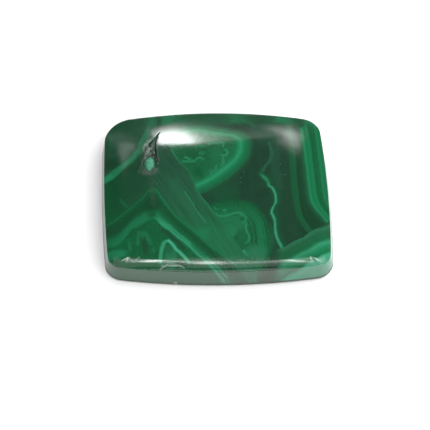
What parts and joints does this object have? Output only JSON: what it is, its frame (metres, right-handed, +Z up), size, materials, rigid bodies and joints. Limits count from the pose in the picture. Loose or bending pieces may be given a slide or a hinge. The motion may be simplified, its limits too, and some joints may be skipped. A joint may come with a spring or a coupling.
{
  "type": "malachite cabochon gemstone",
  "caption": "Cushion-shaped malachite cabochon with a flat underside, a drafted wall, a low polished dome and a small natural pit.",
  "frame": {"origin": "middle of the flat underside, at the bottom centre of the bounding box", "axes": "+X along the long sides, +Y towards the back of the stone, which holds the pit at its left, and +Z up through the dome"},
  "size_m": [0.025, 0.0202, 0.0049],
  "materials": {
    "malachite": "banded dark and light green malachite, polished to a glassy gloss on the dome and the wall, ground matt on the underside"
  },
  "bodies": {
    "root": {"malachite_cabochon": "malachite"}
  },
  "joints": []
}
